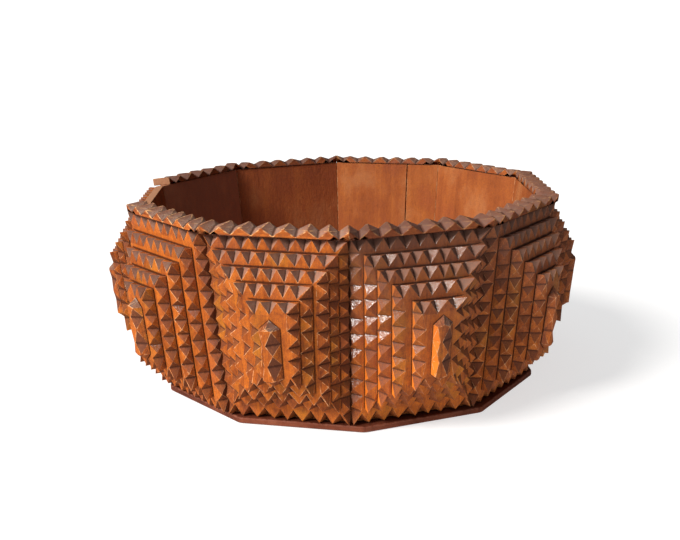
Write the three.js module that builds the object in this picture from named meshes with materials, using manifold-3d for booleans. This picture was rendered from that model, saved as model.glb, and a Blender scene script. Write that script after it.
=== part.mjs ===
// Tramp art bowl: ten leaning sides of thin cigar-box boards on a flat base board.
// Each side is a smooth wall board with six chip-carved boards glued on it, each smaller than the last,
// and a notched strip lies along its top edge. The strip of one side is lost, as on the old bowl.
// Millimetres and degrees, +Z up. The origin is the centre of the underside, and one corner faces -Y.

import * as THREE from 'three';
import * as BufferGeometryUtils from 'three/addons/utils/BufferGeometryUtils.js';
import { ConvexGeometry } from 'three/addons/geometries/ConvexGeometry.js';
import Module from 'manifold-3d';

// Bowl
const SIDES = 10;
const WALL_FOOT_APOTHEM = 92.8; // from the axis to the outer face of a wall board, at its foot
const WALL_LEAN = 7.3; // how far a side leans outwards from upright
const WALL_SLOPE_LENGTH = 93.8; // up the outer face of a wall board
const WALL_THICKNESS = 4.6;
const MITRE_GAP = 0.3; // between neighbouring boards at a corner
const GLUE_GAP = 0.3; // between a board and the one it is glued to

// Base board
const BASE_THICKNESS = 3.0;
const BASE_MARGIN = 3.5; // how far it stands out past the feet of the wall boards
const BASE_CORNER_RADIUS = 6.0;
const BASE_TURN = 2.3; // it was glued on slightly turned

// Carved boards
const LAYER_THICKNESS = 4.4;
const LAYER_COUNT = 5; // stepped boards on a side, under its cap bar
const TOP_LEDGE = 5.9; // how far each board stands out past the next, along its top
const SIDE_LEDGE = 5.5; // the same, along each side
const FOOT_LEDGE = 5.3; // the same, along its foot
const EDGE_UNDERCUT = 0.6; // how far a board's back edge lies inside its front edge
const ROW_PITCH = 7.8; // from tooth to tooth along a top or bottom edge
const COLUMN_PITCH = 8.6; // from tooth to tooth along an upright edge
const GROOVE_ANGLE = 42.0; // between a board's edge and the side of a groove, seen from the front
const SINK = 0.3; // how far a board reaches into the one it is made in one piece with

// Cap bar. Left and right are as seen from outside the bowl.
const CAP_THICKNESS = 4.4;
const CAP_WIDTH = 9.6; // across its back
const CAP_LENGTH = 33.0; // from point to point
const CAP_POINT = 4.2; // length of each pointed end
const CAP_END_SLOPE = 3.2; // how far the front lies inside the back, at each point
const CAP_LEFT_SLOPE = 0.8; // the same, along the left side
const CAP_RIGHT_SLOPE = 3.0; // the same, along the right side
const CAP_PITCH = 12.3; // from tooth to tooth
const CAP_LEFT_GROOVE_ANGLE = 13.0;
const CAP_RIGHT_GROOVE_ANGLE = 28.0;

// Rim strips
const RIM_THICKNESS = 4.0;
const RIM_OVERHANG = 0.4; // past the wall board inside and past the first carved board outside
const RIM_PITCH = 10.4; // from tooth to tooth along the strip
const RIM_GROOVE_FLAT = 0.9; // width left whole along the middle of the top
const RIM_GROOVE_FOOT = 0.6; // height left whole below the grooves
const LOST_RIM_SIDE = 6; // the side at -X

const COLORS = {
  wall: 0x8a4a26,
  base: 0x7d3d24,
  carved: 0xb5642e,
  rim: 0x96603c,
};

const wasm = await Module();
wasm.setup();

const lean = THREE.MathUtils.degToRad(WALL_LEAN);
const halfSide = Math.PI / SIDES;
const wallFootHeight = BASE_THICKNESS + GLUE_GAP;
const layerStep = LAYER_THICKNESS + GLUE_GAP;

// A side has its own frame: x out of the wall board's outer face, y along it and z up its slope.
// Half the width that a side has at x and z, up to the mitre plane between it and its neighbour.
function halfWidthAt(x, z) {
  const apothem = WALL_FOOT_APOTHEM + x * Math.cos(lean) + z * Math.sin(lean);
  return apothem * Math.tan(halfSide) - MITRE_GAP / 2 / Math.cos(halfSide);
}

// A closed surface, gathered triangle by triangle, with corners in counter-clockwise order from outside.
class Surface {
  constructor() {
    this.positions = [];
  }

  triangle(a, b, c) {
    for (const corner of [a, b, c]) {
      this.positions.push(corner.x, corner.y, corner.z);
    }
  }

  // A flat outline, as triangles that meet at the mean of its corners.
  fan(corners) {
    const centre = new THREE.Vector3();
    corners.forEach((corner) => centre.addScaledVector(corner, 1 / corners.length));
    corners.forEach((corner, index) => {
      this.triangle(centre, corner, corners[(index + 1) % corners.length]);
    });
  }

  // A flat strip between two lists of points that run the same way along it.
  ladder(right, left) {
    for (let rung = 1; rung < right.length; rung += 1) {
      this.triangle(right[rung - 1], right[rung], left[rung - 1]);
      this.triangle(right[rung], left[rung], left[rung - 1]);
    }
  }

  geometry() {
    const geometry = new THREE.BufferGeometry();
    geometry.setAttribute('position', new THREE.Float32BufferAttribute(this.positions, 3));
    return geometry;
  }
}

function toManifold(geometry) {
  const bare = geometry.clone();
  bare.deleteAttribute('normal');
  bare.deleteAttribute('uv');
  const merged = BufferGeometryUtils.mergeVertices(bare);
  return new wasm.Manifold(new wasm.Mesh({
    numProp: 3,
    vertProperties: new Float32Array(merged.attributes.position.array),
    triVerts: new Uint32Array(merged.index.array),
  }));
}

function toGeometry(manifold) {
  const mesh = manifold.getMesh();
  const geometry = new THREE.BufferGeometry();
  geometry.setAttribute('position', new THREE.BufferAttribute(mesh.vertProperties, 3));
  geometry.setIndex(new THREE.BufferAttribute(mesh.triVerts, 1));
  return geometry;
}

// Chip carving. Grooves cross the front edge of a board at a slant, from a point on its front face to a
// point at its back, so that a four-sided tooth stays between each two grooves.
// The outlines are lists of corners in the board's plane, counter-clockwise from the front. Each edge has
// the pitch and angle of its grooves. The result lists tips, and the groove that follows each one.
function carveOutline(frontCorners, backCorners, carvings) {
  const teeth = [];
  frontCorners.forEach((start, edge) => {
    const next = (edge + 1) % frontCorners.length;
    const end = frontCorners[next];
    const { pitch, angle } = carvings[edge];
    const count = Math.max(1, Math.round(start.distanceTo(end) / pitch));
    const along = end.clone().sub(start);
    const inward = new THREE.Vector2(-along.y, along.x).normalize();
    const reach = along.length() / count / 2 * Math.tan(THREE.MathUtils.degToRad(angle));
    for (let tooth = 0; tooth < count; tooth += 1) {
      const middle = (tooth + 0.5) / count;
      teeth.push({
        tip: start.clone().lerp(end, tooth / count),
        heel: tooth === 0 ? backCorners[edge] : null,
        grooveFront: start.clone().lerp(end, middle).addScaledVector(inward, reach),
        grooveBack: backCorners[edge].clone().lerp(backCorners[next], middle),
      });
    }
  });
  return teeth;
}

// A carved board between two heights x over the wall board. Its plane's two directions are y and z.
// With narrow true its front is filled from side to side, otherwise from its middle.
function carvedBoard(backX, frontX, teeth, narrow) {
  const surface = new Surface();
  const onFront = (point) => new THREE.Vector3(frontX, point.x, point.y);
  const onBack = (point) => new THREE.Vector3(backX, point.x, point.y);
  const backOutline = [];
  teeth.forEach((tooth, index) => {
    const previous = teeth.at(index - 1);
    const following = teeth[(index + 1) % teeth.length];
    const tip = onFront(tooth.tip);
    const valley = onFront(tooth.grooveFront);
    const foot = onBack(tooth.grooveBack);
    const lastFoot = onBack(previous.grooveBack);
    surface.triangle(tip, foot, valley);
    surface.triangle(onFront(following.tip), valley, foot);
    surface.triangle(onFront(previous.grooveFront), tip, valley);
    if (tooth.heel) {
      const heel = onBack(tooth.heel);
      surface.triangle(lastFoot, heel, tip);
      surface.triangle(heel, foot, tip);
      backOutline.unshift(heel);
    } else {
      surface.triangle(lastFoot, foot, tip);
    }
    backOutline.unshift(foot);
  });
  const valleys = teeth.map((tooth) => onFront(tooth.grooveFront));
  if (narrow) {
    const half = valleys.length / 2;
    surface.ladder(valleys.slice(0, half), valleys.slice(half).reverse());
  } else {
    surface.fan(valleys);
  }
  surface.fan(backOutline);
  return surface.geometry();
}

// The lowest a carved board may reach, so that its front stays over the base board.
const layerFoot = layerStep * Math.tan(lean);

// Four corners of a trapezoid, counter-clockwise from outside: two at its foot and two at its top.
function trapezoid(foot, top, footHalfWidth, topHalfWidth) {
  return [
    new THREE.Vector2(-footHalfWidth, foot),
    new THREE.Vector2(footHalfWidth, foot),
    new THREE.Vector2(topHalfWidth, top),
    new THREE.Vector2(-topHalfWidth, top),
  ];
}

// The outline of stepped board number layer, from 0 at the wall, drawn in by inset all round.
function layerOutline(layer, inset) {
  const foot = layerFoot + layer * FOOT_LEDGE + inset;
  const top = WALL_SLOPE_LENGTH - layer * TOP_LEDGE - inset;
  const halfWidth = (z) => halfWidthAt(GLUE_GAP, z) + EDGE_UNDERCUT - layer * SIDE_LEDGE - inset;
  return trapezoid(foot, top, halfWidth(foot), halfWidth(top));
}

// A stepped board. With sunk true it starts below the face that it lies on.
function steppedBoard(layer, sunk) {
  const backX = GLUE_GAP + layer * layerStep;
  const row = { pitch: ROW_PITCH, angle: GROOVE_ANGLE };
  const column = { pitch: COLUMN_PITCH, angle: GROOVE_ANGLE };
  const back = layerOutline(layer, EDGE_UNDERCUT);
  const teeth = carveOutline(layerOutline(layer, 0), back, [row, column, row, column]);
  return carvedBoard(sunk ? backX - GLUE_GAP - SINK : backX, backX + LAYER_THICKNESS, teeth, false);
}

// Two stepped boards made in one piece, from number lower upwards.
function steppedPair(lower) {
  const joined = toManifold(steppedBoard(lower, false)).add(toManifold(steppedBoard(lower + 1, true)));
  return toGeometry(joined);
}

// The outline of a cap bar, pointed at both ends, drawn in by an inset for each side and for its ends.
function capOutline(leftInset, rightInset, endInset) {
  const foot = layerFoot + LAYER_COUNT * FOOT_LEDGE;
  const top = WALL_SLOPE_LENGTH - LAYER_COUNT * TOP_LEDGE;
  const middleHeight = (foot + top) / 2;
  const left = leftInset - CAP_WIDTH / 2;
  const right = CAP_WIDTH / 2 - rightInset;
  const middle = (left + right) / 2;
  const shoulder = CAP_LENGTH / 2 - CAP_POINT;
  const point = CAP_LENGTH / 2 - endInset;
  return [
    new THREE.Vector2(middle, middleHeight - point),
    new THREE.Vector2(right, middleHeight - shoulder),
    new THREE.Vector2(right, middleHeight + shoulder),
    new THREE.Vector2(middle, middleHeight + point),
    new THREE.Vector2(left, middleHeight + shoulder),
    new THREE.Vector2(left, middleHeight - shoulder),
  ];
}

function capBar() {
  const backX = GLUE_GAP + LAYER_COUNT * layerStep;
  const end = { pitch: CAP_WIDTH, angle: 0 };
  const right = { pitch: CAP_PITCH, angle: CAP_RIGHT_GROOVE_ANGLE };
  const left = { pitch: CAP_PITCH, angle: CAP_LEFT_GROOVE_ANGLE };
  const front = capOutline(CAP_LEFT_SLOPE, CAP_RIGHT_SLOPE, CAP_END_SLOPE);
  const teeth = carveOutline(front, capOutline(0, 0, 0), [end, right, end, end, left, end]);
  return carvedBoard(backX, backX + CAP_THICKNESS, teeth, true);
}

// A wall board: its ends are mitred, its foot is level and its top is square to its faces.
function wallBoard() {
  const corners = [];
  for (const x of [0, -WALL_THICKNESS]) {
    for (const z of [x * Math.tan(lean), WALL_SLOPE_LENGTH]) {
      corners.push(new THREE.Vector3(x, -halfWidthAt(x, z), z));
      corners.push(new THREE.Vector3(x, halfWidthAt(x, z), z));
    }
  }
  return new ConvexGeometry(corners);
}

// A rim strip, square in section, with mitred ends and grooves across both edges of its top.
function rimStrip() {
  const outerX = layerStep + RIM_OVERHANG;
  const innerX = -WALL_THICKNESS - RIM_OVERHANG;
  const middleX = (outerX + innerX) / 2;
  const footZ = WALL_SLOPE_LENGTH + GLUE_GAP;
  const topZ = footZ + RIM_THICKNESS;
  const cornerAt = (x, z, end) => new THREE.Vector3(x, end * halfWidthAt(x, z), z);
  const surface = new Surface();

  // The outer edge is built as it is seen from outside. The inner edge is its mirror image.
  const valleys = { 1: [], '-1': [] };
  for (const [edgeX, side] of [[outerX, 1], [innerX, -1]]) {
    const face = (...corners) => {
      const ordered = side > 0 ? corners : corners.reverse();
      if (ordered.length === 3) {
        surface.triangle(...ordered);
      } else {
        surface.fan(ordered);
      }
    };
    const halfLength = halfWidthAt(edgeX, topZ);
    const count = Math.max(1, Math.round(2 * halfLength / RIM_PITCH));
    const pitch = 2 * halfLength / count;
    const feet = [];
    for (let groove = 0; groove < count; groove += 1) {
      const start = -halfLength + groove * pitch;
      const middle = start + pitch / 2;
      const tip = new THREE.Vector3(edgeX, start, topZ);
      const nextTip = new THREE.Vector3(edgeX, start + pitch, topZ);
      const valley = new THREE.Vector3(middleX + side * RIM_GROOVE_FLAT / 2, middle, topZ);
      const foot = new THREE.Vector3(edgeX, middle, footZ + RIM_GROOVE_FOOT);
      face(tip, foot, valley);
      face(nextTip, valley, foot);
      if (groove > 0) {
        face(valleys[side].at(-1), tip, valley);
        face(feet.at(-1), foot, tip);
      }
      valleys[side].push(valley);
      feet.push(foot);
    }
    const startTip = cornerAt(edgeX, topZ, -1);
    const endTip = cornerAt(edgeX, topZ, 1);
    face(cornerAt(middleX, topZ, -1), startTip, valleys[side][0]);
    face(valleys[side].at(-1), endTip, cornerAt(middleX, topZ, 1));
    face(cornerAt(edgeX, footZ, -1), feet[0], startTip);
    face(feet.at(-1), cornerAt(edgeX, footZ, 1), endTip);
    face(cornerAt(edgeX, footZ, -1), cornerAt(edgeX, footZ, 1), ...feet.reverse());
  }
  surface.fan([
    cornerAt(middleX, topZ, -1),
    ...valleys[1],
    cornerAt(middleX, topZ, 1),
    ...valleys[-1].reverse(),
  ]);

  for (const end of [-1, 1]) {
    const endFace = [
      cornerAt(outerX, footZ, end),
      cornerAt(innerX, footZ, end),
      cornerAt(innerX, topZ, end),
      cornerAt(middleX, topZ, end),
      cornerAt(outerX, topZ, end),
    ];
    surface.fan(end > 0 ? endFace : endFace.reverse());
  }
  surface.fan([
    cornerAt(outerX, footZ, 1),
    cornerAt(outerX, footZ, -1),
    cornerAt(innerX, footZ, -1),
    cornerAt(innerX, footZ, 1),
  ]);
  return surface.geometry();
}

// The base board: a decagon with slightly rounded corners.
function baseBoard() {
  const cornerRadius = (WALL_FOOT_APOTHEM + BASE_MARGIN) / Math.cos(halfSide);
  const arcCentreRadius = cornerRadius - BASE_CORNER_RADIUS / Math.cos(halfSide);
  const shape = new THREE.Shape();
  for (let corner = 0; corner < SIDES; corner += 1) {
    const angle = (2 * corner + 1) * halfSide;
    const x = arcCentreRadius * Math.cos(angle);
    const y = arcCentreRadius * Math.sin(angle);
    shape.absarc(x, y, BASE_CORNER_RADIUS, angle - halfSide, angle + halfSide, false);
  }
  shape.closePath();
  return new THREE.ExtrudeGeometry(shape, { depth: BASE_THICKNESS, bevelEnabled: false, curveSegments: 3 });
}

function namedMesh(name, geometry, color, roughness) {
  const material = new THREE.MeshStandardMaterial({ color, roughness, metalness: 0 });
  const mesh = new THREE.Mesh(geometry, material);
  mesh.name = name;
  return mesh;
}

const bowl = new THREE.Group();

const base = namedMesh('base_board', baseBoard(), COLORS.base, 0.45);
base.rotation.z = THREE.MathUtils.degToRad(BASE_TURN);
bowl.add(base);

const wallGeometry = wallBoard();
const firstBoardGeometry = steppedBoard(0, false);
const lowerPairGeometry = steppedPair(1);
const upperPairGeometry = steppedPair(3);
const capGeometry = capBar();
const rimGeometry = rimStrip();

for (let side = 1; side <= SIDES; side += 1) {
  const number = String(side).padStart(2, '0');
  const turned = new THREE.Group();
  turned.rotation.z = (side - 1) * 2 * halfSide;
  const leaning = new THREE.Group();
  leaning.position.set(WALL_FOOT_APOTHEM, 0, wallFootHeight);
  leaning.rotation.y = lean;
  leaning.add(namedMesh(`side_${number}_wall`, wallGeometry, COLORS.wall, 0.4));
  leaning.add(namedMesh(`side_${number}_layer_1`, firstBoardGeometry, COLORS.carved, 0.4));
  leaning.add(namedMesh(`side_${number}_layers_2_3`, lowerPairGeometry, COLORS.carved, 0.4));
  leaning.add(namedMesh(`side_${number}_layers_4_5`, upperPairGeometry, COLORS.carved, 0.4));
  leaning.add(namedMesh(`side_${number}_cap_bar`, capGeometry, COLORS.carved, 0.4));
  if (side !== LOST_RIM_SIDE) {
    leaning.add(namedMesh(`side_${number}_rim_strip`, rimGeometry, COLORS.rim, 0.5));
  }
  turned.add(leaning);
  bowl.add(turned);
}

export default bowl;
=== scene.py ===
# Tramp art bowl: ten leaning sides of varnished cigar-box boards, each with a stack of chip-carved boards.
# Sizes are in millimetres unless a name says otherwise, and each side has its own frame:
# x out of the wall board's outer face, y along it, counter-clockwise round the bowl, and z up its slope.
# Left and right are as seen from outside the bowl.

import math
import random
from types import SimpleNamespace
from typing import NamedTuple

import bmesh
import bpy
from mathutils import Matrix, Vector, kdtree


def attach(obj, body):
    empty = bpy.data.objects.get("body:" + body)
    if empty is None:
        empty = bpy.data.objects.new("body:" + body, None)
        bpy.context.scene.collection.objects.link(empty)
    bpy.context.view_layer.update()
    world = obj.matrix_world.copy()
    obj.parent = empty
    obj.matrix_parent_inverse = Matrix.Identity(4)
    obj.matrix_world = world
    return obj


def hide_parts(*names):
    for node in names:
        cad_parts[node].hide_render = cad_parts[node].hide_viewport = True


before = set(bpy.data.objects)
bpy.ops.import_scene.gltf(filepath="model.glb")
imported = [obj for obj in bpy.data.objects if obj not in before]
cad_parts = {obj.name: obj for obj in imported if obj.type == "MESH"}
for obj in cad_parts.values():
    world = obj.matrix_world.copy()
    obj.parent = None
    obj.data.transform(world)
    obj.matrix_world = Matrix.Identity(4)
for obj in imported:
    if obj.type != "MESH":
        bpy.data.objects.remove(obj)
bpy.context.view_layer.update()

MM = 0.001

# Bowl, as in the CAD
SIDES = 10
WALL_FOOT_APOTHEM = 92.8  # from the axis to the outer face of a wall board, at its foot
WALL_LEAN = 7.3  # degrees
WALL_SLOPE_LENGTH = 93.8
WALL_THICKNESS = 4.6
MITRE_GAP = 0.3
GLUE_GAP = 0.3
BASE_THICKNESS = 3.0
BASE_MARGIN = 3.5
BASE_CORNER_RADIUS = 6.0
BASE_TURN = 2.3  # degrees
LAYER_THICKNESS = 4.4
LAYER_COUNT = 5
TOP_LEDGE = 5.9
SIDE_LEDGE = 5.5
FOOT_LEDGE = 5.3
EDGE_UNDERCUT = 0.6
CAP_THICKNESS = 4.4
CAP_WIDTH = 9.6
CAP_LENGTH = 33.0
CAP_POINT = 4.2
CAP_END_SLOPE = 3.2
CAP_LEFT_SLOPE = 0.8
CAP_RIGHT_SLOPE = 3.0
CAP_PITCH = 12.3
RIM_THICKNESS = 4.0
RIM_OVERHANG = 0.4
RIM_PITCH = 10.4
LOST_RIM_SIDE = 6

# Carved boards, closer to the photographed ones than the CAD's
ROW_PITCH = 7.2  # from tooth to tooth along a top or foot edge
COLUMN_PITCH = 7.9  # the same, along an upright edge
ROW_REACH = 6.2  # how far a groove runs in over the front face
COLUMN_REACH = 5.0
CAP_LEFT_REACH = 1.4
CAP_RIGHT_REACH = 3.3
CORNER_TOOTH = 6.0  # from a board's corner to its first groove
LEFT_CORNER_TOOTH = 3.7  # the same, for the top row at its left end and the foot row at both ends
END_SLOPE = 0.9  # how deep an edge's first and last groove may be, of their distance from the corner
STEEP_END_SLOPE = 1.65
SHALLOW_END_SLOPE = 0.55
TOP_END_SLOPE = 0.95
ROW_FOOT_INSET = 0.6  # how far inside the back edge a groove of the top row ends
COLUMN_FOOT_INSET = 0.15  # the same, for an upright edge
ROW_TIP_DROP = 0.35  # how far the tips lie below the front face, before TIP_DROP
COLUMN_TIP_DROP = 0.75
CORNER_DROP_SHARE = 0.6  # of that, at a board's corners
COLUMN_OVERHANG = 0.45  # of the first carved board, past its side's mitre planes
FOOT_LIFT = 1.8  # how much higher the boards on the first one start
CAP_WEAR = 0.6  # how much thinner than the others the cap bars are

# Rim, walls and base, closer to the photographed ones than the CAD's
RIM_TIP_DROP = 0.15  # from a strip's ridge to its tips
RIM_VALLEY_DEPTH = 1.7  # of the notches, where they cross the ridge
RIM_VALLEY_SPREAD = (0.8, 1.1)
RIM_GROOVE_FOOT = 0.3  # height left whole below the notches
RIM_LIFT = 0.04  # between a strip and the wall under it
SHORT_RIM_SIDE = 5
RIM_SHORTNESS = 5.6  # where the strip beside the lost one is broken off
WALL_JOINT = 0.13  # how much longer than the CAD's a wall board and its strip are at each end
CRACKED_SIDE = 3
CRACK_PLACE = -0.4  # of half the wall board's width
CRACK_HALF_WIDTH = 0.008  # the same
BASE_SHIFT = (2.0, -2.2)  # the base board isn't glued on centrally
BASE_CORNER_STEPS = 3  # of each half of a rounded corner

# Work of the hand
CARVING_SEED = 31
SIDE_SEEDS = 100  # more than there are sides, so that each has a seed of its own
TOOTH_UNEVENNESS = 0.11  # of a pitch, along an edge
TIP_PLACES = (0.42, 0.58)  # where a tip lies between its two grooves
TIP_WEAR = 0.3  # how far a tip may lie inside the outline
TIP_DROP = 0.3  # how far a tip may lie further below the front face
REACH_SPREAD = (0.9, 1.04)  # of a groove's reach
BOARD_SHIFT = 0.5  # how far a board may be off the place of the one under it

# Worn edges
SHARP_EDGE = 12  # degrees. Flatter edges stay as they are.
ARRIS_WIDTH = 0.14
ROUNDED_SIDE = 6  # its boards are worn rounder
ROUNDED_WIDTH = 0.5
RIM_ARRIS_WIDTH = 0.3
WALL_ARRIS_WIDTH = 0.3
WALL_ARRIS_STEPS = 2
BASE_ARRIS_WIDTH = 0.7
BASE_ARRIS_STEPS = 3

# How far each board of a photographed stack is off its regular place: left, right, top and foot edge
STACKS = {
    6: [
        (0.0, -3.5, 0.0, 0.0),
        (0.5, -2.0, 0.0, 0.5),
        (0.6, -1.0, -0.5, 0.5),
        (0.8, -0.5, -0.5, 0.8),
        (1.0, 0.0, -0.5, 1.0),
    ],
    7: [
        (-3.2, -2.4, -0.6, -0.5),
        (-4.5, -3.4, -2.2, -0.8),
        (-4.8, -3.7, -3.2, -0.8),
        (-5.0, -3.9, -3.9, -0.8),
        (-5.0, -4.6, -4.2, -0.8),
    ],
    8: [
        (-0.2, -0.2, -0.6, 0.0),
        (-0.3, 1.6, 0.0, 1.4),
        (-0.6, 3.9, 0.0, 1.6),
        (1.2, 3.2, 0.3, 2.8),
        (2.4, 3.8, -0.2, 3.6),
    ],
    9: [
        (0.0, 0.0, -0.2, 0.4),
        (0.0, 0.9, -0.8, 1.0),
        (-0.9, 2.7, -0.8, 0.8),
        (-1.2, 3.4, -0.8, 1.3),
        (1.2, 3.5, -1.8, 1.2),
    ],
}

# How far their cap bars are off centre, along the side and up it
CAP_SHIFTS = {7: (-4.5, -2.0), 8: (2.0, -0.5), 9: (3.4, -0.8)}

# How much each side is darkened, from 0 to 1: darker varnish, and painted shade on the sides
# turned away from the key light. The carved boards have two values, for the foot and for the top.
CARVED_STAINS_AND_SHADE = {8: (0.0, 0.08), 9: (0.03, 0.77), 10: (0.1, 0.68), 1: (0.2, 0.6)}
RIM_STAINS_AND_SHADE = {8: 0.05, 9: 0.62, 10: 0.55, 1: 0.5, 2: 0.3, 3: 0.35, 4: 0.6, 5: 0.6}
WALL_STAINS_AND_SHADE = {4: 0.25, 3: 0.05}
WALL_PAINTED_SHEEN = {5: 0.35}  # how much painted sheen, a pale reflection of the bright surroundings, lies inside the shaded wall
LIT_SIDE = 9  # its left flanks, which face the key light, get painted light

lean = math.radians(WALL_LEAN)
half_side = math.pi / SIDES
layer_step = LAYER_THICKNESS + GLUE_GAP
layer_foot = layer_step * math.tan(lean)


def side_matrix(side):
    """From a side's own frame, in millimetres, to the bowl's, in metres."""
    turned = Matrix.Rotation((side - 1) * 2 * half_side, 4, "Z")
    placed = Matrix.Translation((WALL_FOOT_APOTHEM, 0, BASE_THICKNESS + GLUE_GAP))
    return Matrix.Scale(MM, 4) @ turned @ placed @ Matrix.Rotation(lean, 4, "Y")


def half_width_at(x, z):
    """Half the width that a side has at x and z, up to its mitre planes."""
    apothem = WALL_FOOT_APOTHEM + x * math.cos(lean) + z * math.sin(lean)
    return apothem * math.tan(half_side) - MITRE_GAP / 2 / math.cos(half_side)


def clamped(value):
    return max(0.0, min(1.0, value))


# Kinds of facet, and how each is finished. Walls turned away from the key light and flanks in narrow gaps
# get painted shade; left flanks that face the key on one side get painted light.
FRONT, FLANK, LIT_LEFT_FLANK, GAP, BACK, RAW = range(6)
GROOVE, SHADED_GROOVE, FOOT_GROOVE, UP_COLUMN, COLUMN_GROOVE, SHADED_COLUMN = range(6, 12)


class Finish(NamedTuple):
    """Shares from 0 to 1. The painted shade lies on facets turned away from the key light and in narrow
    gaps; below 0 it is painted light instead, on flanks that face the key.
    """

    cut: float  # how much it looks like bare cut wood, with a painted sheen of the bright surroundings
    # painted shade, on facets turned away from the key light and in narrow gaps; below 0, painted light
    painted_shade: float = 0.0
    shine: float = 0.1
    recessed: bool = False  # whether dirt and painted shade lie at its low points


# Facets turned away from the key light, and flanks in narrow gaps, carry painted shade; left flanks that
# face the key on one side carry painted light
FINISHES = {
    FRONT: Finish(cut=0.0, shine=0.25),
    FLANK: Finish(cut=0.05, recessed=True),
    LIT_LEFT_FLANK: Finish(cut=0.0, painted_shade=-0.8),
    GAP: Finish(cut=0.2, painted_shade=0.8),
    BACK: Finish(cut=0.3),
    RAW: Finish(cut=0.2),
    GROOVE: Finish(cut=0.8, shine=0.4, recessed=True),
    SHADED_GROOVE: Finish(cut=0.8, painted_shade=0.65, recessed=True),
    FOOT_GROOVE: Finish(cut=0.4, painted_shade=0.15, recessed=True),
    UP_COLUMN: Finish(cut=0.1, painted_shade=0.35, shine=0.85, recessed=True),
    COLUMN_GROOVE: Finish(cut=0.05, shine=0.4, recessed=True),
    SHADED_COLUMN: Finish(cut=0.05, painted_shade=0.6, shine=0.4, recessed=True),
}

POINT_DIGITS = 4  # of a corner's place, by which faces share it
LEDGE_EDGES = 6  # the most edges that the board on top can have
FAR = 50.0  # from any ledge
GRAIN_RANGE = 400.0  # over which the boards are cut from the grain

materials = {}


def facet_normal(vert):
    """The normal of the large facets at a vertex, so that they stay flat up to their worn edges."""
    total = Vector((0.0, 0.0, 0.0))
    for face in vert.link_faces:
        total += face.normal * face.calc_area() ** 2
    return total.normalized()


def corner_key(point):
    return tuple(round(value, POINT_DIGITS) for value in point)


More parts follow.
